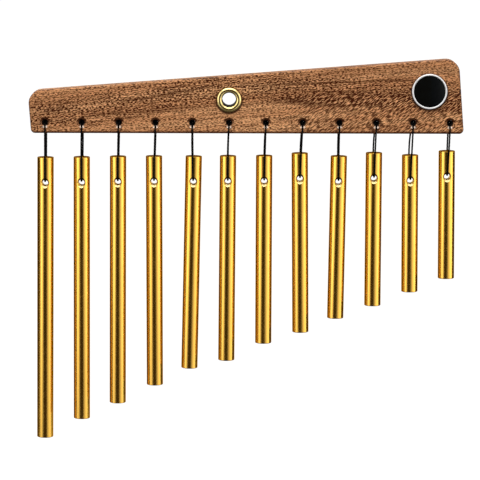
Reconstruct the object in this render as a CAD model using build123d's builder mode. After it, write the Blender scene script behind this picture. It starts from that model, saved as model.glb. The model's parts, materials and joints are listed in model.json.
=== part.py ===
"""Bar chimes: a tapered hardwood beam that carries twelve graded rods on loops of cord.

The origin is the middle of the eyelet's bore. X runs along the row towards the short rods,
Y from the front of the beam to its back, and Z up. All sizes are in millimetres and degrees.
"""

import math
import os

from build123d import *

# Row of chimes: the rods hang at one pitch, and the eyelet stands above one of them
pitch = 21.2
number_under_eyelet = 6
longest_bar = 165.0
loop_drop = 34.3

# Each chime: how much shorter than the longest its rod is, how much more than the usual drop its
# loop has, the sideways shift of the hanging rod and the lean of the rod.
# The loops were tied by hand, so the drops, shifts and leans are as uneven as they hang.
chimes = [
    (0.0, 1.0, -0.3, -0.5),
    (11.0, 0.8, -0.5, -0.3),
    (20.0, 0.4, -0.7, -0.3),
    (30.5, 0.2, -1.0, 0.1),
    (40.5, 0.2, 0.5, -1.2),
    (45.0, 0.0, -0.7, -0.4),
    (55.0, -0.2, -0.9, -0.1),
    (60.0, -1.7, -1.4, 0.5),
    (70.0, 0.0, -0.3, -0.9),
    (75.5, -2.0, -1.0, -0.1),
    (85.0, -0.7, -1.2, 0.3),
    (90.5, -3.1, -1.2, 0.3),
]

# Beam: a board with its lower edge level and its upper edge climbing to the right
beam_thickness = 12.0
beam_end_margin = 8.0
beam_short_end = 24.2
beam_taper = 4.4
beam_upper_corner = 7.5
beam_lower_corner = 2.5
beam_edge_round = 0.8
eyelet_above_cord_holes = 13.4
cord_holes_above_edge = 6.1

# Cord loops
cord_diameter = 1.0
cord_bend = 1.5
cord_edge_bend = 25.0
cord_gap = 0.1
strand_gap = 0.3
knot_diameter = 2.8
cord_hole_diameter = 3.2
cord_hole_sink = 6.2
sink_angle = 90

# Rods
bar_diameter = 9.5
bar_edge_round = 0.4
bar_hole_from_top = 14.8
bar_hole_diameter = 3.5
bar_hole_sink = 6.0

# Eyelet and its washer
eyelet_bore = 8.0
eyelet_wall = 0.5
eyelet_flange = 14.4
eyelet_bead = 1.4
eyelet_clearance = 0.1
eyelet_tail_flange = 12.0
eyelet_tail_bead = 0.9
washer_thickness = 0.8
washer_edge_round = 0.3

# Badge
badge_diameter = 20.2
badge_from_right = 20.05
badge_above_edge = 24.5
badge_floor = 0.5
badge_rim_width = 1.0
badge_rim_height = 1.7
badge_rim_round = 0.4
badge_face_edge = 0.8
badge_face_crown = 1.2
badge_face_clearance = 0.05

# Places that follow from those sizes
half_thickness = beam_thickness / 2
cord_radius = cord_diameter / 2
bar_radius = bar_diameter / 2
cord_hole_z = -eyelet_above_cord_holes
lower_edge_z = cord_hole_z - cord_holes_above_edge
hole_x = [(i + 1 - number_under_eyelet) * pitch for i in range(len(chimes))]
beam_left = hole_x[0] - beam_end_margin
beam_right = hole_x[-1] + beam_end_margin
front_and_back = (-1, 1)

os.makedirs("parts", exist_ok=True)


def face_plane(side, x, y, z):
    """A plane at a point, looking out of the front (side -1) or out of the back (side 1)."""
    return Plane(origin=(x, y, z), x_dir=(1, 0, 0), z_dir=(0, side, 0))


def write_piece(piece, name):
    piece.part.label = name
    export_step(piece.part, f"parts/{name}.step")


# Beam: its ends are square to the upper edge
lower_left = Vector(beam_left, lower_edge_z)
lower_right = Vector(beam_right, lower_edge_z)
up_the_end = Vector(0, 1).rotate(Axis.Z, beam_taper)
along_the_top = Vector(1, 0).rotate(Axis.Z, beam_taper)
upper_left = lower_left + up_the_end * beam_short_end
upper_right = upper_left + along_the_top * (lower_right - lower_left).dot(along_the_top)

with BuildPart() as beam:
    with BuildSketch(Plane.XZ) as outline:
        with BuildLine():
            Polyline(lower_left, lower_right, upper_right, upper_left, close=True)
        make_face()
        fillet(outline.vertices().sort_by(Axis.Y)[2:], radius=beam_upper_corner)
        fillet(outline.vertices().sort_by(Axis.Y)[:2], radius=beam_lower_corner)
    extrude(amount=half_thickness, both=True)
    fillet(beam.faces().filter_by(Axis.Y).edges(), radius=beam_edge_round)
    with Locations(face_plane(-1, 0, -half_thickness, 0)):
        Hole(radius=eyelet_bore / 2 + eyelet_wall + eyelet_clearance)
    for side in front_and_back:
        mouths = [face_plane(side, x, side * half_thickness, cord_hole_z) for x in hole_x]
        with Locations(*mouths):
            CounterSinkHole(
                radius=cord_hole_diameter / 2,
                counter_sink_radius=cord_hole_sink / 2,
                counter_sink_angle=sink_angle,
            )
write_piece(beam, "beam")

# Eyelet: a tube with a rolled bead on the front face, and a tail rolled over the washer behind
bore_radius = eyelet_bore / 2
tube_radius = bore_radius + eyelet_wall
flange_radius = eyelet_flange / 2
tail_radius = eyelet_tail_flange / 2
tail_y = half_thickness + washer_thickness

with BuildPart() as eyelet:
    with BuildSketch(Plane.XY):
        with BuildLine():
            ThreePointArc(
                (bore_radius, -half_thickness),
                ((bore_radius + flange_radius) / 2, -half_thickness - eyelet_bead),
                (flange_radius, -half_thickness),
            )
            Polyline(
                (flange_radius, -half_thickness),
                (tube_radius, -half_thickness),
                (tube_radius, tail_y),
                (tail_radius, tail_y),
            )
            ThreePointArc(
                (tail_radius, tail_y),
                ((bore_radius + tail_radius) / 2, tail_y + eyelet_tail_bead),
                (bore_radius, tail_y),
            )
            Line((bore_radius, tail_y), (bore_radius, -half_thickness))
        make_face()
    revolve(axis=Axis.Y)
write_piece(eyelet, "eyelet")

with BuildPart() as eyelet_washer:
    with BuildSketch(face_plane(1, 0, half_thickness, 0)):
        Circle(radius=flange_radius)
        Circle(radius=tube_radius + eyelet_clearance, mode=Mode.SUBTRACT)
    extrude(amount=washer_thickness)
    rear_edges = eyelet_washer.edges().group_by(Axis.Y)[-1]
    fillet(rear_edges.sort_by(SortBy.RADIUS)[-1], radius=washer_edge_round)
write_piece(eyelet_washer, "eyelet_washer")

# Badge: a bright pan with a raised rim, and a black face that fills it in a low crown
badge_centre = (beam_right - badge_from_right, -half_thickness, lower_edge_z + badge_above_edge)
badge_plane = face_plane(-1, *badge_centre)
badge_radius = badge_diameter / 2
pan_radius = badge_radius - badge_rim_width
face_radius = pan_radius - badge_face_clearance
crown_rise = badge_face_crown - badge_face_edge

with BuildPart() as badge_rim:
    with BuildSketch(badge_plane):
        Circle(radius=badge_radius)
    extrude(amount=badge_rim_height)
    with BuildSketch(badge_plane.offset(badge_floor)):
        Circle(radius=pan_radius)
    extrude(amount=badge_rim_height, mode=Mode.SUBTRACT)
    fillet(badge_rim.edges().group_by(Axis.Y)[0], radius=badge_rim_round)
write_piece(badge_rim, "badge_rim")

with BuildPart() as badge_face:
    with BuildSketch(Plane(origin=badge_centre)):
        with BuildLine():
            Polyline(
                (0, -badge_floor - badge_face_crown),
                (0, -badge_floor),
                (face_radius, -badge_floor),
                (face_radius, -badge_floor - badge_face_edge),
            )
            RadiusArc(
                (face_radius, -badge_floor - badge_face_edge),
                (0, -badge_floor - badge_face_crown),
                radius=(face_radius**2 + crown_rise**2) / (2 * crown_rise),
            )
        make_face()
    revolve(axis=Axis(badge_centre, (0, 1, 0)))
write_piece(badge_face, "badge_face")


def straight_bar(length):
    """One rod, upright, with the middle of its top face at the origin."""
    with BuildPart() as rod:
        Cylinder(bar_radius, length, align=(Align.CENTER, Align.CENTER, Align.MAX))
        fillet(rod.edges().filter_by(GeomType.CIRCLE), radius=bar_edge_round)
        mouths = [face_plane(side, 0, side * bar_radius, -bar_hole_from_top) for side in front_and_back]
        with Locations(*mouths):
            CounterSinkHole(
                radius=bar_hole_diameter / 2,
                counter_sink_radius=bar_hole_sink / 2,
                counter_sink_angle=sink_angle,
            )
    return rod


def cord_loop(drop, loop_plane):
    """One loop on a plane through its beam hole, whose x is the depth and whose y climbs the loop.

    It starts and ends in the knot behind the beam. The top run lies in the beam's hole, the two
    strands stand off the beam and the rod, and the bottom run carries the rod by its cross hole.
    """
    strand = half_thickness + strand_gap + cord_radius
    at_bar = bar_radius + strand_gap + cord_radius
    top_run = cord_radius + cord_gap - cord_hole_diameter / 2
    bottom_run = bar_hole_diameter / 2 - cord_radius - cord_gap - drop
    route = [
        (strand, top_run),
        (-strand, top_run),
        (-strand, -cord_holes_above_edge),
        (-at_bar, bottom_run),
        (at_bar, bottom_run),
        (strand, -cord_holes_above_edge),
        (strand, top_run - cord_radius),
    ]
    bends = [cord_bend, cord_edge_bend, cord_bend, cord_bend, cord_edge_bend]
    with BuildPart() as cord:
        with BuildLine(loop_plane) as line:
            FilletPolyline(*route, radius=bends)
        with BuildSketch(Plane(origin=line.line @ 0, z_dir=line.line % 0)):
            Circle(radius=cord_radius)
        sweep()
        with Locations(loop_plane.from_local_coords(Vector(strand, top_run))):
            Sphere(radius=knot_diameter / 2)
    length = sum(edge.length for edge in line.edges())
    tube = math.pi * cord_radius**2 * length
    print(f"cord of {length:.1f} mm, bends {bends} mm, tube {tube:.1f} of {cord.part.volume:.1f} mm3")
    return cord


for number, (x, (shorter, extra_drop, shift, lean)) in enumerate(zip(hole_x, chimes), start=1):
    beam_hole = Vector(x, 0, cord_hole_z)
    bar_hole = beam_hole + Vector(shift, 0, -loop_drop - extra_drop)
    climb = (beam_hole - bar_hole).normalized()
    upright = Vector(0, 0, 1).rotate(Axis.Y, -lean)
    bar_top = Plane(
        origin=bar_hole + upright * bar_hole_from_top,
        x_dir=Vector(0, 1, 0).cross(upright),
        z_dir=upright,
    )
    rod = straight_bar(longest_bar - shorter)
    with BuildPart(bar_top) as bar:
        add(rod.part)
    write_piece(bar, f"bar_{number:02d}")
    loop_plane = Plane(origin=beam_hole, x_dir=(0, 1, 0), z_dir=Vector(0, 1, 0).cross(climb))
    cord = cord_loop((beam_hole - bar_hole).length, loop_plane)
    write_piece(cord, f"cord_{number:02d}")
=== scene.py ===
"""Bar chimes: the looks of a tapered hardwood beam that carries twelve gold rods on loops of black cord.

Lengths are in metres unless a comment says mm, in the frame of the solids: X runs along the row towards
the short rods, Y from the front of the beam to its back, Z up, and the origin is the eyelet's middle.
"""

import json
import math

import bmesh
import bpy
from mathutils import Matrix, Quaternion, Vector


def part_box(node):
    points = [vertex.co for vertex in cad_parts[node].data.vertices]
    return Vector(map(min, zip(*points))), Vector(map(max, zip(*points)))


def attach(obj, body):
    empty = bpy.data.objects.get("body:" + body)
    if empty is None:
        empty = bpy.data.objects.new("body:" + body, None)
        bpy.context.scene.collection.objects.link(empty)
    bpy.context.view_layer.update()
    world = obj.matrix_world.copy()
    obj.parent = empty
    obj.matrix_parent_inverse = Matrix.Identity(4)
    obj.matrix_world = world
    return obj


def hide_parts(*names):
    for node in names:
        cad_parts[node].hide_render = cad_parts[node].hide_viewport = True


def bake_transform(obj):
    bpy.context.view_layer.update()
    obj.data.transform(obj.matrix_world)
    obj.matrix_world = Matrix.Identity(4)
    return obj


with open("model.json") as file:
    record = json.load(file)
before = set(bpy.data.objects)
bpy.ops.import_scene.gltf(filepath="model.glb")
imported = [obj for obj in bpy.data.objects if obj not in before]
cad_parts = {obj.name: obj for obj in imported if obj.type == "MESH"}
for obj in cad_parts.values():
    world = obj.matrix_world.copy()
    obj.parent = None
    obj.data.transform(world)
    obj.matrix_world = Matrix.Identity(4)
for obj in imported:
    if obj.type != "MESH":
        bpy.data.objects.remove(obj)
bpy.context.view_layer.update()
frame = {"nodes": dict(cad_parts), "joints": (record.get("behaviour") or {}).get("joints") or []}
scene = bpy.context.scene
mm = 0.001

# Camera: straight at the row, a little above it, with a long lens
camera_target = Vector((6.44, 0.0, -82.25)) * mm
camera_distance = 1.6
camera_elevation = math.radians(8.1)
camera_roll = math.radians(0.13)
camera_half_width = 139.45 * mm
camera_clip_end = 50.0
sensor_width = 36.0

# Loops, in mm as in the solids: each has its drop from the beam's hole to the rod's, the sideways shift
# of the rod's hole, and how far its front and its rear strand stray sideways below the beam
loops = [
    (35.3, -0.3, 0.05, 0.05),
    (35.1, -0.5, -0.15, 0.15),
    (34.7, -0.7, -0.1, -0.05),
    (34.5, -1.0, -0.1, 0.0),
    (34.5, 0.5, -0.35, -0.15),
    (34.3, -0.7, -0.25, -0.45),
    (34.1, -0.9, 0.0, -0.35),
    (32.6, -1.4, -0.05, -0.35),
    (34.3, -0.3, -0.2, -0.35),
    (32.3, -1.0, -0.1, -0.6),
    (33.6, -1.2, -0.05, -0.95),
    (31.2, -1.2, 0.1, 0.0),
]
joint_places = {joint["name"]: Vector(joint["pos_m"]) for joint in frame["joints"]}
cord_diameter = 1.0 * mm
strand_depth = 6.8 * mm
strand_depth_at_rod = 5.55 * mm
top_run_below_hole = 1.0 * mm
rod_hole_radius = 1.75 * mm
rod_hole_dip = 0.5 * mm
straight_from_bend = 6 * cord_diameter
ply_count = 3
ply_pitch = 2.0 * mm
ply_depth = 0.06
cord_sides = 15
cord_steps = 24

# Knots: a trefoil of cord with two cut tails. A tail's bend and tip are in shares of its length.
knot_scale = 0.52 * mm
knot_thickness = 1.1
knot_points = 20
knot_sides = 9
knot_steps = 6
knot_depth = 6.6 * mm
knot_below_hole = 0.85 * mm
tail_length = 3.2 * mm
tail_shape = [(0.4, 0.15, -0.3), (0.62, 0.2, -1.0)]
tail_steps = 10

# Badge's face, in the solid's shape
dome_rise = 0.4 * mm
dome_rings = 8
dome_sides = 96

# Studio: cards light the chimes, and flags are dark sheets that show in polished metal. A place is an
# azimuth and an elevation in degrees, a distance, a width and a height. Azimuth 0 is the camera's side,
# and it grows to the right. A glow is a radiance, where 1 is white. A fade is the share of the glow at
# the card's left and right side, where across the card that share is 1, and the share at its foot.
rig_centre = Vector((10.0, 0.0, -60.0)) * mm
white = (1.0, 1.0, 1.0, 1.0)
ambient_level = 0.3
floor_z = -0.7
floor_size = 30.0
floor_grey = (0.3, 0.3, 0.3, 1.0)
floor_lift = 0.95
even_fade = (1.0, 1.0, 0.5, 1.0)
foot_fade_heights = (0.2, 0.43)
cards = {
    "left_card": ((-50, 0, 1.5, 1.75, 1.9), 2.4, (0.1, 0.03, 0.3, 0.2)),
    "right_card": ((47, 0, 1.5, 2.42, 1.9), 2.15, (0.02, 1.5, 0.9, 0.5)),
    "top_card": ((0, 65, 1.2, 1.6, 0.9), 3.6, even_fade),
}
flag_tint = (1.0, 0.7, 0.2, 1.0)
flags = {
    "front_flag": ((-7.5, -5, 2.2, 1.58, 2.4), 0.04),
    "back_left_flag": ((-112, -7, 1.4, 1.6, 0.6), 0.08),
    "back_right_flag": ((115, -7, 1.4, 1.43, 0.6), 0.08),
    "back_flag": ((180, 11, 1.4, 1.3, 0.36), 0.04),
    "floor_flag": ((-7.5, -35, 0.6, 0.46, 0.6), 0.04),
}
back_card_place = (180, 20, 1.5, 1.8, 1.2)
back_card_glow = 1.3


def shade(red, green, blue):
    """A colour written as it shows on screen, 0 to 255, in the linear values that shaders take."""
    def linear(value):
        value /= 255
        return value / 12.92 if value <= 0.04045 else ((value + 0.055) / 1.055) ** 2.4

    return (linear(red), linear(green), linear(blue), 1.0)


# Camera


def aim_camera():
    data = bpy.data.cameras.new("camera")
    data.sensor_width = sensor_width
    data.lens = sensor_width / 2 * camera_distance / camera_half_width
    data.clip_end = camera_clip_end
    camera = bpy.data.objects.new("camera", data)
    scene.collection.objects.link(camera)
    back = Vector((0, -math.cos(camera_elevation), math.sin(camera_elevation)))
    camera.location = camera_target + back * camera_distance
    camera.rotation_mode = "QUATERNION"
    camera.rotation_quaternion = (-back).to_track_quat("-Z", "Y") @ Quaternion((0, 0, 1), camera_roll)
    scene.camera = camera


# Node helpers


def feed(tree, socket, value):
    """Sets a socket to a value, or links another node's output to it."""
    if isinstance(value, bpy.types.NodeSocket):
        tree.links.new(value, socket)
    else:
        socket.default_value = value


def put(tree, kind, settings=None, **inputs):
    """A new node of this kind, with its settings and its inputs by name."""
    node = tree.nodes.new("ShaderNode" + kind)
    for name, value in (settings or {}).items():
        setattr(node, name, value)
    for name, value in inputs.items():
        feed(tree, node.inputs[name.replace("_", " ")], value)
    return node


def calc(tree, operation, *values):
    node = put(tree, "Math", {"operation": operation})
    for socket, value in zip(node.inputs, values):
        feed(tree, socket, value)
    return node.outputs[0]


def times(tree, first, *others):
    """The product of these values."""
    for other in others:
        first = calc(tree, "MULTIPLY", first, other)
    return first


def most(tree, first, *others):
    """The largest of these values."""
    for other in others:
        first = calc(tree, "MAXIMUM", first, other)
    return first


def raised(tree, base, mask, amount):
    """A value that goes up by this amount where the mask is 1."""
    return calc(tree, "MULTIPLY_ADD", mask, amount, base)


def mix(tree, factor, first, second):
    """The first colour where the factor is 0, and the second where it is 1."""
    node = put(tree, "Mix", {"data_type": "RGBA"})
    feed(tree, node.inputs[0], factor)
    feed(tree, node.inputs[6], first)
    feed(tree, node.inputs[7], second)
    return node.outputs[2]


def ease(tree, value, low, high, to_low=0.0, to_high=1.0):
    """A soft step of a value from low to high. Low may be above high, for a step down."""
    node = put(
        tree,
        "MapRange",
        {"interpolation_type": "SMOOTHSTEP"},
        Value=value,
        From_Min=low,
        From_Max=high,
        To_Min=to_low,
        To_Max=to_high,
    )
    return node.outputs["Result"]


def split(tree, vector):
    return put(tree, "SeparateXYZ", Vector=vector).outputs


def length(tree, vector):
    return put(tree, "VectorMath", {"operation": "LENGTH"}, Vector=vector).outputs["Value"]


def place_in_mm(tree):
    place = put(tree, "TexCoord").outputs["Object"]
    node = put(tree, "VectorMath", {"operation": "SCALE"}, Vector=place, Scale=1 / mm)
    return node.outputs["Vector"]


def own_facing(tree):
    """How far a surface faces along its own piece's X, Y and Z, from -1 to 1, however that is turned."""
    return split(tree, put(tree, "TexCoord").outputs["Normal"])


def turned_place(tree, place, middle):
    """Places in a piece turned round its middle: the distance from its axis as X, and the depth as Y."""
    centred = put(tree, "VectorMath", {"operation": "SUBTRACT"}, Vector=place)
    feed(tree, centred.inputs[1], middle)
    parts = split(tree, centred.outputs["Vector"])
    out = length(tree, put(tree, "CombineXYZ", X=parts["X"], Z=parts["Z"]).outputs["Vector"])
    return put(tree, "CombineXYZ", X=out, Y=parts["Y"]).outputs["Vector"]


def emboss(tree, shader, height, strength, distance):
    """Gives a finish the relief of a height, with a bump of this strength and distance."""
    bump = put(tree, "Bump", Height=height, Strength=strength, Distance=distance)
    feed(tree, shader.inputs["Normal"], bump.outputs["Normal"])


def new_group(name, inputs, outputs):
    """A shared effect with these named sockets: its node group, what it is given and what it gives."""
    group = bpy.data.node_groups.new(name, "ShaderNodeTree")
    for socket, kind in inputs.items():
        group.interface.new_socket(socket, in_out="INPUT", socket_type=kind)
    for socket, kind in outputs.items():
        group.interface.new_socket(socket, in_out="OUTPUT", socket_type=kind)
    return group, group.nodes.new("NodeGroupInput").outputs, group.nodes.new("NodeGroupOutput").inputs


def use_group(tree, group, **inputs):
    """Places a shared effect in a finish, with values of its own."""
    return put(tree, "Group", {"node_tree": group}, **inputs).outputs


def new_material(name):
    material = bpy.data.materials.new(name)
    material.use_nodes = True
    tree = material.node_tree
    return material, tree, tree.nodes["Principled BSDF"]


# Effects that several finishes share, with the noise levels and facings between which each sets in
line_shade_levels = (0.3, 0.7)
smudge_levels = (0.45, 0.7)
dust_specks_per_mm = 1.4
dust_speck_levels = (0.5, 0.75)
dust_facing = (0.5, 0.95)
dust_colour = shade(190, 180, 168)


def polish_lines_group():
    """Fine lines that drawing, turning or brushing leaves in metal, as a height and as a shade."""
    group, given, gives = new_group(
        "polish_lines",
        {"Place": "NodeSocketVector", "Line size": "NodeSocketVector"},
        {"Height": "NodeSocketFloat", "Shade": "NodeSocketFloat"},
    )
    laid = put(group, "VectorMath", {"operation": "DIVIDE"}, Vector=given["Place"])
    feed(group, laid.inputs[1], given["Line size"])
    noise = put(group, "TexNoise", Vector=laid.outputs["Vector"], Scale=1.0, Detail=3.0)
    feed(group, gives["Height"], noise.outputs["Fac"])
    feed(group, gives["Shade"], ease(group, noise.outputs["Fac"], *line_shade_levels))
    return group


def smudges_group():
    """Soft hand marks on a polished surface, from 0 for clean to 1."""
    group, given, gives = new_group(
        "smudges",
        {"Place": "NodeSocketVector", "Size": "NodeSocketFloat"},
        {"Mask": "NodeSocketFloat"},
    )
    laid = put(group, "VectorMath", {"operation": "SCALE"}, Vector=given["Place"])
    feed(group, laid.inputs["Scale"], calc(group, "DIVIDE", 1.0, given["Size"]))
    blots = put(group, "TexNoise", Vector=laid.outputs["Vector"], Scale=1.0, Detail=4.0, Distortion=0.6)
    feed(group, gives["Mask"], ease(group, blots.outputs["Fac"], *smudge_levels))
    return group


def settled_dust_group():
    """Dust on faces that look up, broken into specks, from 0 for clean to 1."""
    group, given, gives = new_group(
        "settled_dust",
        {"Place": "NodeSocketVector"},
        {"Mask": "NodeSocketFloat"},
    )
    specks = put(group, "TexNoise", Vector=given["Place"], Scale=dust_specks_per_mm, Detail=3.0)
    lying = ease(group, own_facing(group)["Z"], *dust_facing)
    broken = ease(group, specks.outputs["Fac"], *dust_speck_levels)
    feed(group, gives["Mask"], times(group, lying, broken))
    return group


def painted_underside_shade_group():
    """Faces that look down, where the finishes paint shade, from 0 to 1 between two facings."""
    group, given, gives = new_group(
        "painted_underside_shade",
        {"Start": "NodeSocketFloat", "Full": "NodeSocketFloat"},
        {"Mask": "NodeSocketFloat"},
    )
    feed(group, gives["Mask"], ease(group, own_facing(group)["Z"], given["Start"], given["Full"]))
    return group


polish_lines = polish_lines_group()
smudges = smudges_group()
settled_dust = settled_dust_group()
painted_underside_shade = painted_underside_shade_group()


def smudged(tree, place, size):
    return use_group(tree, smudges, Place=place, Size=size)["Mask"]


# The mask of faces that look down, for painted shade
def facing_down(tree, start, full):
    return use_group(tree, painted_underside_shade, Start=start, Full=full)["Mask"]


def dusted(tree, place, colour, share):
    """A colour with this share of dust over it, where dust lies."""
    dust = use_group(tree, settled_dust, Place=place)["Mask"]
    return mix(tree, times(tree, dust, share), colour, dust_colour)


# Places in mm that follow from the frame: the beam, its row of cord holes, and the rods' holes below it
beam_low, beam_high = (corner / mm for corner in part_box("beam"))
first_hole = joint_places["sway_01"] / mm
last_hole = joint_places[f"sway_{len(loops):02d}"] / mm
drops = [loop[0] for loop in loops]
highest_rod_hole = first_hole.z - min(drops)
lowest_rod_hole = first_hole.z - max(drops)


def measured_from(base, start, full):
    """Where a mask starts and where it is full, from their distances to a base."""
    return base + start, base + full


# Wood
light_wood = shade(250, 185, 129)
mid_wood = shade(228, 161, 109)
dark_wood = shade(60, 20, 0)
pore_wood = shade(56, 28, 12)
sink_highlight_wood = shade(255, 230, 208)
bore_shade_wood = shade(16, 10, 7)

# Its marks are blots of noise: their size in mm along X, Y and Z, their climb in degrees and their detail,
# the noise levels between which they go from none to full, and how deep their colour is
grain_climb = 4.4
wander_blots = ((45, 20, 20), 0.0, 2.0)
wander_reach = 2.0
tone_blots = ((120, 14, 5), grain_climb, 3.0)
tone_levels = (0.3, 0.6)
line_blots = ((40, 2, 0.8), grain_climb, 2.0)
line_levels = (0.5, 0.66)
line_depth = 0.25
level_blots = ((1.5, 0.6, 0.42), 7.0, 1.0)
slanted_blots = ((3.0, 0.6, 0.52), 34.0, 1.0)
drawn_blots = ((22.0, 1.5, 0.5), grain_climb, 2.0)
drawn_share = 0.33
drawn_share_lost_in_slant = 0.14
fleck_levels = (0.467, 0.552)
fleck_gain_in_middle = 0.028
fleck_gain_in_slant = 0.025
fleck_depth = 0.9
fleck_depth_gain_in_middle = 0.1
fibre_blots = ((7.0, 0.4, 0.24), 5.0, 3.0)
fibre_levels = (0.4, 0.65)
fibre_depth = 0.3
pore_blots = ((1.8, 0.4, 0.3), 5.0, 1.0)
pore_levels = (0.62, 0.7)
pore_depth = 0.5

# Places on the beam's face, X and Z in mm: the middle of its coarse figure and the distances from it over
# which that sets in, the lower right part with slanting flecks, the dark streaks, each with its half width
# and depth, and the heights between which all such lines lie
figure_middle = [(-115, -9), (-60, -3), (-10, 6), (35, 6), (75, 4), (135, 1)]
figure_fade = (12.0, 4.0)
slant_right_of = (20.0, 55.0)
slant_below = (8.0, 0.0)
dark_streaks = [
    ([(-75, -3), (-40, 2), (0, 10)], 1.3, 0.6),
    ([(-90, -10), (-50, -7), (-5, -2)], 1.6, 0.55),
    ([(10, 8), (60, 10.5), (120, 11.5)], 1.1, 0.7),
    ([(15, -1), (45, -1.5), (80, -4)], 2.6, 0.6),
    ([(40, 6), (70, 5.5), (95, 4)], 1.0, 0.5),
    ([(35, 14), (85, 16.5), (165, 18)], 8.0, 0.26),
]
streak_fade = 22.0
course_heights = (-25.0, 25.0)

# The beam's edges, holes and fittings in mm: painted shade over its lower edge, its end grain, darkened
# as end grain is and as painted shade, the cord holes with painted highlights on their lower sinks and
# painted shade in their bores, and painted contact shadow round its fittings, each ring with its shift
# along X and Z and its depth. Facings go from -1 for straight down to 1 for straight up. A pair is where
# a mask starts and where it is full.
beam_under_facing = (-0.02, -0.3)
painted_brink_shade = measured_from(beam_low.z, 1.6, 0.9)
edge_shade_and_end_grain_depth = 0.85
end_facing = (0.2, 0.7)
end_reach = (measured_from(first_hole.x, -3.5, -5.0), measured_from(last_hole.x, 3.2, 4.2))
end_grain_and_shade_depth = 0.75
sink_facing = (0.56, 0.68)
sinks_below = measured_from(first_hole.z, 5.4, 3.4)
bore_depth = measured_from(beam_high.y, -0.8, -1.6)
bore_heights = (measured_from(first_hole.z, 4.4, 2.4), measured_from(first_hole.z, -4.1, -2.4))
bore_reach = (measured_from(first_hole.x, -6.0, -3.0), measured_from(last_hole.x, 6.8, 3.8))
contact_shadow_rings = [("eyelet", (0.0, -0.5), 0.9), ("badge_rim", (0.1, -0.4), 0.95)]
contact_shadow_gap = 0.2
contact_shadow_width = 1.0
contact_shadow_on_front = (0.0, -4.0)

# Its lacquer: roughness and coat, and how much the marks and the dull places change them
wood_dust = 0.12
wood_roughness = 0.42
fleck_roughness = 0.12
dull_roughness = 0.4
coat_weight = 0.1
fleck_dip = 0.5
pore_dip = 1.0
wood_bump = (0.25, 0.1 * mm)


def cloud(tree, place, size, climb, detail):
    """Noise whose blots have this size in mm along X, Y and Z, turned in the beam's face to climb."""
    laid = put(
        tree,
        "Mapping",
        {"vector_type": "TEXTURE"},
        Vector=place,
        Rotation=(0.0, -math.radians(climb), 0.0),
        Scale=size,
    )
    noise = put(tree, "TexNoise", Vector=laid.outputs["Vector"], Scale=1.0, Detail=detail)
    return noise.outputs["Fac"]


def height_along(tree, place_x, course):
    """The height, in mm, of a smooth line along the beam through these places (X, Z)."""
    first, last = course[0][0], course[-1][0]
    low, high = course_heights
    along = put(tree, "MapRange", Value=place_x, From_Min=first, From_Max=last).outputs["Result"]
    node = put(tree, "FloatCurve", Value=along)
    line = node.mapping.curves[0]
    points = [((x - first) / (last - first), (z - low) / (high - low)) for x, z in course]
    line.points[0].location = points[0]
    line.points[-1].location = points[-1]
    for point in points[1:-1]:
        line.points.new(*point)
    node.mapping.update()
    return raised(tree, low, node.outputs["Value"], high - low)


def off_course(tree, place_x, place_z, course):
    """How far a place lies above or below such a line, in mm."""
    return calc(tree, "ABSOLUTE", calc(tree, "SUBTRACT", place_z, height_along(tree, place_x, course)))


def streak(tree, place_x, place_z, course, half_width):
    """A soft dark line in the wood along these places, which fades out at its ends."""
    first, last = course[0][0], course[-1][0]
    line = ease(tree, off_course(tree, place_x, place_z, course), half_width, 0.0)
    starts = ease(tree, place_x, first, first + streak_fade)
    stops = ease(tree, place_x, last, last - streak_fade)
    return times(tree, line, times(tree, starts, stops))


def contact_shadow_ring(tree, parts, fitting, shift):
    """Painted contact shadow where a round fitting meets the front of the wood: a thin dark ring, shifted
    a little.
    """
    low, high = (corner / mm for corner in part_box(fitting))
    radius = (high.x - low.x) / 2 + contact_shadow_gap
    off_x = calc(tree, "SUBTRACT", parts["X"], (low.x + high.x) / 2 + shift[0])
    off_z = calc(tree, "SUBTRACT", parts["Z"], (low.z + high.z) / 2 + shift[1])
    out = length(tree, put(tree, "CombineXYZ", X=off_x, Z=off_z).outputs["Vector"])
    on_front = ease(tree, parts["Y"], *contact_shadow_on_front)
    return times(tree, ease(tree, out, radius + contact_shadow_width, radius), on_front)


def end_grain_and_shade(tree, parts):
    """1 where the beam's two ends face along it, past its row of cord holes, and 0 elsewhere."""
    facing = calc(tree, "ABSOLUTE", own_facing(tree)["X"])
    left, right = (ease(tree, parts["X"], *reach) for reach in end_reach)
    return times(tree, ease(tree, facing, *end_facing), most(tree, left, right))


def cord_bores(tree, parts):
    """1 on the walls of the cord holes, which lie deep in the beam in one row, and 0 elsewhere."""
    mask = ease(tree, calc(tree, "ABSOLUTE", parts["Y"]), *bore_depth)
    for way, sides in (("Z", bore_heights), ("X", bore_reach)):
        for side in sides:
            mask = times(tree, mask, ease(tree, parts[way], *side))
    return mask


def wood_ground(tree, parts, wavy_z, grain):
    """The wood's ground colour: broad tones, faint lines and the dark streaks."""
    tone = ease(tree, cloud(tree, grain, *tone_blots), *tone_levels)
    colour = mix(tree, tone, light_wood, mid_wood)
    dark = times(tree, ease(tree, cloud(tree, grain, *line_blots), *line_levels), line_depth)
    for course, half_width, depth in dark_streaks:
        mask = streak(tree, parts["X"], wavy_z, course, half_width)
        dark = most(tree, dark, times(tree, mask, depth))
    return mix(tree, dark, colour, dark_wood)


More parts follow.
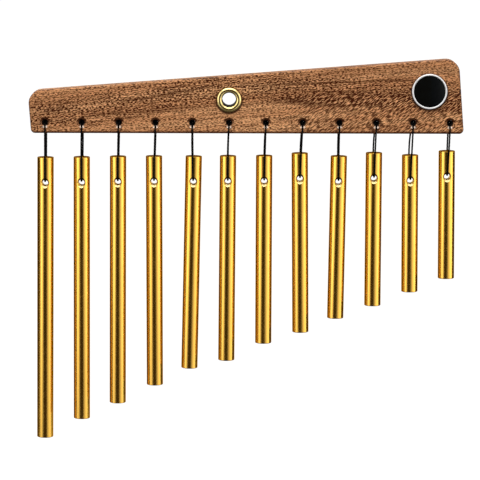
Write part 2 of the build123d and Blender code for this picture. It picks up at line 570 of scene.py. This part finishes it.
def wood_flecks(tree, place, parts, wavy_z, grain):
    """Masks of the short dark flecks, which slant at the lower right, and of the coarse middle."""
    coarse = ease(tree, off_course(tree, parts["X"], wavy_z, figure_middle), *figure_fade)
    slanting = times(
        tree,
        ease(tree, parts["X"], *slant_right_of),
        ease(tree, parts["Z"], *slant_below),
    )
    level = cloud(tree, grain, *level_blots)
    slanted = cloud(tree, place, *slanted_blots)
    drawn = cloud(tree, grain, *drawn_blots)
    share = raised(tree, drawn_share, slanting, -drawn_share_lost_in_slant)
    fleck = mix(tree, share, mix(tree, slanting, level, slanted), drawn)
    fleck = raised(tree, fleck, coarse, fleck_gain_in_middle)
    fleck = raised(tree, fleck, slanting, fleck_gain_in_slant)
    return ease(tree, fleck, *fleck_levels), coarse


def wood():
    """Reddish brown hardwood: coarse figure through the middle, short dark flecks, a satin lacquer."""
    material, tree, shader = new_material("mahogany")
    place = place_in_mm(tree)
    parts = split(tree, place)
    wander = raised(tree, -wander_reach, cloud(tree, place, *wander_blots), 2 * wander_reach)
    wavy_z = calc(tree, "ADD", parts["Z"], wander)
    grain = put(tree, "CombineXYZ", X=parts["X"], Y=parts["Y"], Z=wavy_z).outputs["Vector"]

    colour = wood_ground(tree, parts, wavy_z, grain)
    flecks, coarse = wood_flecks(tree, place, parts, wavy_z, grain)
    depth = raised(tree, fleck_depth, coarse, fleck_depth_gain_in_middle)
    colour = mix(tree, times(tree, flecks, depth), colour, dark_wood)
    fibre = ease(tree, cloud(tree, grain, *fibre_blots), *fibre_levels)
    colour = mix(tree, times(tree, fibre, fibre_depth), colour, dark_wood)
    pores = ease(tree, cloud(tree, grain, *pore_blots), *pore_levels)
    colour = mix(tree, times(tree, pores, pore_depth), colour, pore_wood)

    # Painted shade under the beam, over its lower edge and on its ends, whose end grain is also darker
    under = facing_down(tree, *beam_under_facing)
    brink_shade = ease(tree, parts["Z"], *painted_brink_shade)
    edge = most(tree, under, brink_shade, times(tree, end_grain_and_shade(tree, parts), end_grain_and_shade_depth))
    colour = mix(tree, times(tree, edge, edge_shade_and_end_grain_depth), colour, dark_wood)
    # Painted contact shadow round the eyelet and the badge
    for fitting, shift, shadow_depth in contact_shadow_rings:
        colour = mix(tree, times(tree, contact_shadow_ring(tree, parts, fitting, shift), shadow_depth), colour, pore_wood)
    # Painted highlight on the sinks below the cord holes, where they look up
    lit = ease(tree, own_facing(tree)["Z"], *sink_facing)
    colour = mix(tree, times(tree, lit, ease(tree, parts["Z"], *sinks_below)), colour, sink_highlight_wood)
    # Painted shade on the walls of the cord holes
    bore_shade = cord_bores(tree, parts)
    colour = mix(tree, bore_shade, colour, bore_shade_wood)

    feed(tree, shader.inputs["Base Color"], dusted(tree, place, colour, wood_dust))
    rough = raised(tree, wood_roughness, flecks, fleck_roughness)
    dull = most(tree, bore_shade, under)
    feed(tree, shader.inputs["Roughness"], raised(tree, rough, dull, dull_roughness))
    feed(tree, shader.inputs["Coat Weight"], raised(tree, coat_weight, dull, -coat_weight))
    emboss(tree, shader, raised(tree, times(tree, flecks, -fleck_dip), pores, -pore_dip), *wood_bump)
    shader.inputs["Specular IOR Level"].default_value = 0.08
    shader.inputs["Coat Roughness"].default_value = 0.16
    return material


# Gold of the rods, with sizes and heights in mm. Facings and pairs are as for the wood, and a level is a
# facing of either sign.
bright_gold = shade(252, 198, 90)
lined_gold = shade(246, 188, 80)
marked_gold = shade(240, 184, 76)
deep_gold = shade(140, 101, 18)
slant_gold = shade(253, 204, 78)
sink_highlight_gold = shade(252, 226, 160)
hole_and_end_shade_gold = shade(112, 78, 28)
shaded_gold = shade(36, 24, 8)
drawn_line_size = (0.5, 0.5, 40.0)
drawn_line_share = 0.5
rod_smudge_size = 9.0
rod_smudge_share = 0.2
rod_holes_from = measured_from(highest_rod_hole, 5.1, 4.1)
rod_holes_to = measured_from(lowest_rod_hole, -5.3, -4.3)
rod_sink_facing = (0.45, 0.65)
rod_sink_shade = (-0.25, -0.5)
rod_bore_level = (0.85, 0.97)
rod_end_level = (0.3, 0.6)
rod_foot_facing = (-0.05, -0.3)
slant_view_deepening = (0.2, 0.75)
rod_dust = 0.1
rod_roughness = 0.17
rod_smudge_roughness = 0.04
rod_cut_roughness = 0.2
rod_line_roughness = 0.03
rod_bump = (0.06, 0.02 * mm)


def gold():
    """Gold anodised rods: satin, with drawn lines, and a colour that deepens where they are seen at a
    slant. Their holes and cut ends are rougher, with painted highlights on the sinks that look up and
    painted shade on the rest, and their foot has painted shade.
    """
    material, tree, shader = new_material("gold_anodised")
    place = place_in_mm(tree)
    lines = use_group(tree, polish_lines, Place=place, Line_size=drawn_line_size)
    marks = smudged(tree, place, rod_smudge_size)
    height = split(tree, place)["Z"]
    facing = own_facing(tree)["Z"]
    level = calc(tree, "ABSOLUTE", facing)
    at_hole = times(tree, ease(tree, height, *rod_holes_from), ease(tree, height, *rod_holes_to))
    off_hole = calc(tree, "SUBTRACT", 1.0, at_hole)
    # Painted highlight on the sinks of the rod's hole that look up
    sink_highlight = times(tree, ease(tree, facing, *rod_sink_facing), at_hole)
    # Painted shade on the sinks that look down, in the bore and on the cut ends
    shaded = times(tree, facing_down(tree, *rod_sink_shade), at_hole)
    bore_shade = times(tree, ease(tree, level, *rod_bore_level), at_hole)
    end = times(tree, ease(tree, level, *rod_end_level), off_hole)
    dark = most(tree, shaded, bore_shade, end)
    # Painted shade on the rod's foot, where it faces down
    foot = times(tree, facing_down(tree, *rod_foot_facing), off_hole)
    # The colour deepens where the rod is seen at a slant
    slope = put(tree, "LayerWeight", Blend=0.5).outputs["Facing"]

    colour = mix(tree, times(tree, lines["Shade"], drawn_line_share), bright_gold, lined_gold)
    colour = mix(tree, times(tree, marks, rod_smudge_share), colour, marked_gold)
    colour = mix(tree, ease(tree, slope, *slant_view_deepening), colour, deep_gold)
    colour = mix(tree, sink_highlight, colour, sink_highlight_gold)
    colour = mix(tree, dark, colour, hole_and_end_shade_gold)
    colour = mix(tree, foot, colour, shaded_gold)
    feed(tree, shader.inputs["Base Color"], dusted(tree, place, colour, rod_dust))
    rough = raised(tree, rod_roughness, marks, rod_smudge_roughness)
    rough = raised(tree, rough, most(tree, sink_highlight, dark), rod_cut_roughness)
    feed(tree, shader.inputs["Roughness"], raised(tree, rough, lines["Shade"], rod_line_roughness))
    emboss(tree, shader, lines["Height"], *rod_bump)
    shader.inputs["Metallic"].default_value = 1.0
    shader.inputs["Specular Tint"].default_value = slant_gold
    return material


# Brass of the eyelet and its washer, which is turned round the origin, with sizes in mm
bright_brass = shade(250, 228, 160)
lined_brass = shade(242, 216, 140)
marked_brass = shade(224, 188, 104)
shaded_brass = shade(92, 76, 24)
bore_shade_brass = shade(56, 42, 22)
eyelet_middle = (0.0, 0.0, 0.0)
eyelet_line_size = (0.12, 0.3, 1.0)
eyelet_smudge_size = 3.0
eyelet_smudge_share = 0.35
eyelet_bore_radius = (4.3, 4.05)
eyelet_under_facing = (-0.1, -0.5)
eyelet_under_metal_lost = 0.7
eyelet_roughness = 0.14
eyelet_smudge_roughness = 0.08
eyelet_under_roughness = 0.3
eyelet_bore_roughness = 0.5
turned_bump = (0.05, 0.02 * mm)


def brass():
    """Bright plated brass, with turned lines, rougher and with painted shade where it faces down, and
    painted shade in its rough bore.
    """
    material, tree, shader = new_material("bright_brass")
    place = place_in_mm(tree)
    turned = turned_place(tree, place, eyelet_middle)
    lines = use_group(tree, polish_lines, Place=turned, Line_size=eyelet_line_size)
    marks = smudged(tree, place, eyelet_smudge_size)
    # Painted shade in the bore and where the brass faces down
    bore_shade = ease(tree, split(tree, turned)["X"], *eyelet_bore_radius)
    under = facing_down(tree, *eyelet_under_facing)
    colour = mix(tree, lines["Shade"], bright_brass, lined_brass)
    colour = mix(tree, times(tree, marks, eyelet_smudge_share), colour, marked_brass)
    colour = mix(tree, under, colour, shaded_brass)
    feed(tree, shader.inputs["Base Color"], mix(tree, bore_shade, colour, bore_shade_brass))
    feed(tree, shader.inputs["Metallic"], raised(tree, 1.0, under, -eyelet_under_metal_lost))
    rough = raised(tree, eyelet_roughness, marks, eyelet_smudge_roughness)
    rough = raised(tree, rough, under, eyelet_under_roughness)
    feed(tree, shader.inputs["Roughness"], raised(tree, rough, bore_shade, eyelet_bore_roughness))
    emboss(tree, shader, lines["Height"], *turned_bump)
    return material


# Bright metal of the badge's pan, with sizes in mm
bright_metal = shade(253, 252, 251)
lined_metal = shade(242, 241, 240)
shaded_metal = shade(120, 118, 116)
rim_line_size = (0.1, 0.3, 1.0)
rim_smudge_size = 4.0
rim_under_facing = (0.0, -0.5)
rim_under_share = 0.8
rim_roughness = 0.45
rim_smudge_roughness = 0.1


def bright_rim():
    """Satin bright metal of the badge's pan, turned round its middle."""
    material, tree, shader = new_material("bright_rim")
    place = place_in_mm(tree)
    low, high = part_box("badge_rim")
    turned = turned_place(tree, place, (low + high) / 2 / mm)
    lines = use_group(tree, polish_lines, Place=turned, Line_size=rim_line_size)
    marks = smudged(tree, place, rim_smudge_size)
    under = facing_down(tree, *rim_under_facing)
    colour = mix(tree, lines["Shade"], bright_metal, lined_metal)
    colour = mix(tree, times(tree, under, rim_under_share), colour, shaded_metal)
    feed(tree, shader.inputs["Base Color"], colour)
    feed(tree, shader.inputs["Roughness"], raised(tree, rim_roughness, marks, rim_smudge_roughness))
    emboss(tree, shader, lines["Height"], *turned_bump)
    shader.inputs["Metallic"].default_value = 0.65
    return material


# Black enamel of the badge's face, with sizes in mm
deep_black = shade(4, 5, 6)
soft_black = shade(10, 13, 14)
ripples_per_mm = 0.35
face_smudge_size = 5.0
face_dust = 0.1
face_roughness = 0.08
face_smudge_roughness = 0.1
face_bump = (0.08, 0.2 * mm)


def black_face():
    """Glossy black enamel, with the faint ripple of poured lacquer and a few hand marks."""
    material, tree, shader = new_material("black_enamel")
    place = place_in_mm(tree)
    marks = smudged(tree, place, face_smudge_size)
    ripple = put(tree, "TexNoise", Vector=place, Scale=ripples_per_mm, Detail=1.0).outputs["Fac"]
    colour = mix(tree, ripple, deep_black, soft_black)
    feed(tree, shader.inputs["Base Color"], dusted(tree, place, colour, face_dust))
    feed(tree, shader.inputs["Roughness"], raised(tree, face_roughness, marks, face_smudge_roughness))
    emboss(tree, shader, ripple, *face_bump)
    return material


# Black of the cords
cord_black = shade(3, 3, 4)
fibre_black = shade(14, 13, 13)
fibres_per_mm = 5.0
cord_roughness = 0.75
fibre_roughness = 0.2
cord_bump = (0.3, 0.05 * mm)


def black_cord():
    """Black twisted cord with a soft fibre."""
    material, tree, shader = new_material("black_cord")
    place = place_in_mm(tree)
    fibre = put(tree, "TexNoise", Vector=place, Scale=fibres_per_mm, Detail=4.0).outputs["Fac"]
    feed(tree, shader.inputs["Base Color"], mix(tree, fibre, cord_black, fibre_black))
    feed(tree, shader.inputs["Roughness"], raised(tree, cord_roughness, fibre, fibre_roughness))
    emboss(tree, shader, fibre, *cord_bump)
    shader.inputs["Specular IOR Level"].default_value = 0.03
    return material


# Cords


def smooth_line(name, points, steps):
    """Points along the smooth spline that these control points pull."""
    data = bpy.data.curves.new(name, "CURVE")
    data.dimensions = "3D"
    data.resolution_u = steps
    spline = data.splines.new("NURBS")
    spline.points.add(len(points) - 1)
    for control, point in zip(spline.points, points):
        control.co = (*point, 1.0)
    spline.order_u = 3
    spline.use_endpoint_u = True
    curve = bpy.data.objects.new(name, data)
    mesh = bpy.data.meshes.new_from_object(curve)
    line = [vertex.co.copy() for vertex in mesh.vertices]
    bpy.data.meshes.remove(mesh)
    bpy.data.curves.remove(data)
    return line


def lay_cord(bm, line, sides):
    """A twisted cord along a line: its section has one soft lobe for each ply, and turns as it goes."""
    side = (line[1] - line[0]).orthogonal().normalized()
    travelled = 0.0
    rings = []
    for i, point in enumerate(line):
        before = line[max(i - 1, 0)]
        after = line[min(i + 1, len(line) - 1)]
        along = (after - before).normalized()
        side = (side - along * side.dot(along)).normalized()
        other = along.cross(side)
        travelled += (point - before).length
        twist = 2 * math.pi * travelled / ply_pitch
        ring = []
        for k in range(sides):
            angle = 2 * math.pi * k / sides
            lobe = math.cos(ply_count * angle - twist)
            reach = cord_diameter / 2 * (1 + ply_depth * lobe)
            outward = side * math.cos(angle) + other * math.sin(angle)
            ring.append(bm.verts.new(point + outward * reach))
        rings.append(ring)
    for ring, following in zip(rings, rings[1:]):
        for k in range(sides):
            n = (k + 1) % sides
            bm.faces.new((ring[k], ring[n], following[n], following[k]))
    bm.faces.new(reversed(rings[0]))
    bm.faces.new(rings[-1])


def new_piece(name, bm, material):
    """A piece from its finished mesh, smooth all over apart from its many-sided end faces."""
    for face in bm.faces:
        face.smooth = len(face.verts) <= 4
    mesh = bpy.data.meshes.new(name)
    bm.to_mesh(mesh)
    bm.free()
    mesh.materials.append(material)
    piece = bpy.data.objects.new(name, mesh)
    scene.collection.objects.link(piece)
    return piece


def tie_knot(name, centre, material):
    """A tight overhand knot with two short cut tails, behind the beam."""
    bm = bmesh.new()
    turns = []
    for k in range(knot_points):
        t = 2 * math.pi * k / knot_points
        across = math.sin(t) + 2 * math.sin(2 * t)
        deep = -knot_thickness * math.sin(3 * t)
        up = math.cos(t) - 2 * math.cos(2 * t)
        turns.append(centre + knot_scale * Vector((across, deep, up)))
    lay_cord(bm, smooth_line(name, [*turns, *turns[:2]], knot_steps), knot_sides)
    for way in (-1, 1):
        tail = [centre]
        for across, back, up in tail_shape:
            tail.append(centre + Vector((way * across, back, up)) * tail_length)
        lay_cord(bm, smooth_line(name, tail, tail_steps), knot_sides)
    return new_piece(name, bm, material)


def hang_loops(material):
    """The loops that carry the rods, each from its knot through the beam, down to its rod and back up."""
    for number, (drop, shift, front_stray, rear_stray) in enumerate(loops, start=1):
        label = f"{number:02d}"
        hole = joint_places[f"sway_{label}"]
        edge = joint_places[f"swing_{label}"]
        edge_below_hole = hole.z - edge.z
        fall = Vector((shift, 0, -drop)) * mm
        down = fall.normalized()

        def at(depth, below, stray=0.0):
            return hole + Vector((stray * mm, depth, 0)) + down * below

        in_rod = fall.length - rod_hole_radius + cord_diameter / 2
        front_bend_from = edge_below_hole - strand_depth
        route = [
            at(strand_depth, top_run_below_hole),
            at(front_bend_from, top_run_below_hole),
            at(-strand_depth, top_run_below_hole),
            at(-strand_depth, edge_below_hole, front_stray / 2),
            at(-strand_depth, edge_below_hole + straight_from_bend, front_stray),
            at(-strand_depth_at_rod, in_rod - straight_from_bend, front_stray / 2),
            at(-strand_depth_at_rod, in_rod + rod_hole_dip),
            at(0, in_rod),
            at(strand_depth_at_rod, in_rod + rod_hole_dip),
            at(strand_depth_at_rod, in_rod - 2 * straight_from_bend, rear_stray),
            at(strand_depth, edge_below_hole + straight_from_bend, rear_stray),
            at(strand_depth, edge_below_hole, rear_stray / 2),
            at(strand_depth, top_run_below_hole + cord_diameter / 2),
        ]
        line = smooth_line(f"line_{label}", route, cord_steps)
        bm = bmesh.new()
        lay_cord(bm, line, cord_sides)
        cord = new_piece(f"loop_cord_{label}", bm, material)
        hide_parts(f"cord_{label}")
        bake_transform(cord)
        knot = tie_knot(f"knot_{label}", at(knot_depth, knot_below_hole), material)
        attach(knot, f"loop_{label}")


# Badge


def dome_badge_face(material):
    """The black face as one smooth dome, in the place and size of its solid."""
    low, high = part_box("badge_face")
    centre = (low + high) / 2
    radius = (high.x - low.x) / 2
    profile = []
    for k in range(1, dome_rings + 1):
        profile.append((radius * k / dome_rings, low.y + dome_rise * (k / dome_rings) ** 2))
    profile.append((radius, high.y))
    bm = bmesh.new()
    top = bm.verts.new((centre.x, low.y, centre.z))
    turns = [2 * math.pi * k / dome_sides for k in range(dome_sides)]
    rings = []
    for out, y in profile:
        ring = []
        for t in turns:
            ring.append(bm.verts.new((centre.x + out * math.cos(t), y, centre.z + out * math.sin(t))))
        rings.append(ring)
    for k in range(dome_sides):
        n = (k + 1) % dome_sides
        bm.faces.new((top, rings[0][k], rings[0][n]))
        for ring, outer in zip(rings, rings[1:]):
            bm.faces.new((ring[k], outer[k], outer[n], ring[n]))
        bm.edges.get((rings[-2][k], rings[-2][n])).smooth = False
    bm.faces.new(reversed(rings[-1]))
    face = new_piece("lacquer_face", bm, material)
    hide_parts("badge_face")
    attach(face, "beam")


# Solids that keep their shape and take a finish


def finish_solids():
    """Gives each solid the finish of its own name, or of the first word of its name."""
    finishes = {
        "beam": wood(),
        "eyelet": brass(),
        "badge_rim": bright_rim(),
        "bar": gold(),
    }
    for name, node in frame["nodes"].items():
        finish = finishes.get(name) or finishes.get(name.split("_")[0])
        if finish:
            node.data.materials.clear()
            node.data.materials.append(finish)


# Studio


def seen_directly(tree):
    """1 for what the camera, a mirror or a window sees, and 0 for light that falls on things."""
    path = put(tree, "LightPath").outputs
    return most(tree, path["Is Camera Ray"], path["Is Glossy Ray"], path["Is Transmission Ray"])


def show(tree, output_kind, shader):
    """Puts a shader on the output of a material or of the world."""
    output = put(tree, output_kind)
    tree.links.new(shader.outputs[0], output.inputs["Surface"])


def light_world():
    """White where it is seen, and a low even light on things."""
    world = bpy.data.worlds.new("studio")
    world.use_nodes = True
    scene.world = world
    tree = world.node_tree
    tree.nodes.clear()
    backdrop = put(tree, "Background", Color=white, Strength=1.0)
    ambient = put(tree, "Background", Color=white, Strength=ambient_level)
    both = put(tree, "MixShader", Fac=seen_directly(tree))
    tree.links.new(ambient.outputs[0], both.inputs[1])
    tree.links.new(backdrop.outputs[0], both.inputs[2])
    show(tree, "OutputWorld", both)


def stage_material(name):
    """A material with no nodes yet, for a sheet of the studio."""
    material = bpy.data.materials.new(name)
    material.use_nodes = True
    material.node_tree.nodes.clear()
    return material, material.node_tree


def flat_sheet(name, width, height, material):
    """A sheet of the studio, flat in X and Y round its own middle."""
    bm = bmesh.new()
    corners = [(-1, -1), (1, -1), (1, 1), (-1, 1)]
    bm.faces.new([bm.verts.new((x * width / 2, y * height / 2, 0)) for x, y in corners])
    sheet = new_piece(name, bm, material)
    return sheet


def lay_floor():
    """A floor below the chimes that is pale where it is seen, and keeps their shadow."""
    material, tree = stage_material("pale_floor")
    matt = put(tree, "BsdfDiffuse", Color=floor_grey)
    glow = put(tree, "Emission", Color=white, Strength=times(tree, seen_directly(tree), floor_lift))
    both = put(tree, "AddShader")
    tree.links.new(matt.outputs[0], both.inputs[0])
    tree.links.new(glow.outputs[0], both.inputs[1])
    show(tree, "OutputMaterial", both)
    floor = flat_sheet("floor", floor_size, floor_size, material)
    floor.location = (0, 0, floor_z)


def card_material(name, glow, fade, tint):
    """A card that glows, with other shares of its glow at its sides and its foot."""
    material, tree = stage_material(name)
    at_left, at_right, peak, at_foot = fade
    parts = split(tree, put(tree, "TexCoord").outputs["Generated"])
    left = ease(tree, parts["X"], 0.0, peak, at_left, 1.0)
    right = ease(tree, parts["X"], 1.0, peak, at_right, 1.0)
    foot = ease(tree, parts["Y"], *foot_fade_heights, at_foot, 1.0)
    strength = times(tree, left, right, glow, foot)
    show(tree, "OutputMaterial", put(tree, "Emission", Color=tint, Strength=strength))
    return material


def hang_card(name, place, glow, fade=even_fade, tint=white):
    """A card that faces the chimes. It lights them and shows in metal, and the camera doesn't see it."""
    azimuth, elevation, distance, width, height = place
    card = flat_sheet(name, width, height, card_material(name, glow, fade, tint))
    turn = math.radians(azimuth)
    rise = math.radians(elevation)
    level = math.cos(rise)
    away = Vector((math.sin(turn) * level, -math.cos(turn) * level, math.sin(rise)))
    card.location = rig_centre + away * distance
    card.rotation_mode = "QUATERNION"
    card.rotation_quaternion = away.to_track_quat("Z", "Y")
    card.visible_camera = False
    return card


def hang_flag(name, place, glow):
    """A dark sheet that shows in polished metal, and takes no light from the chimes or the floor."""
    flag = hang_card(name, place, glow, tint=flag_tint)
    flag.visible_diffuse = False
    flag.visible_shadow = False


def set_studio():
    light_world()
    lay_floor()
    for name, (place, glow, fade) in cards.items():
        hang_card(name, place, glow, fade)
    for name, (place, glow) in flags.items():
        hang_flag(name, place, glow)
    back_card = hang_card("back_card", back_card_place, back_card_glow)
    back_card.visible_glossy = False


scene.view_settings.view_transform = "Standard"
aim_camera()
hang_loops(black_cord())
dome_badge_face(black_face())
finish_solids()
set_studio()
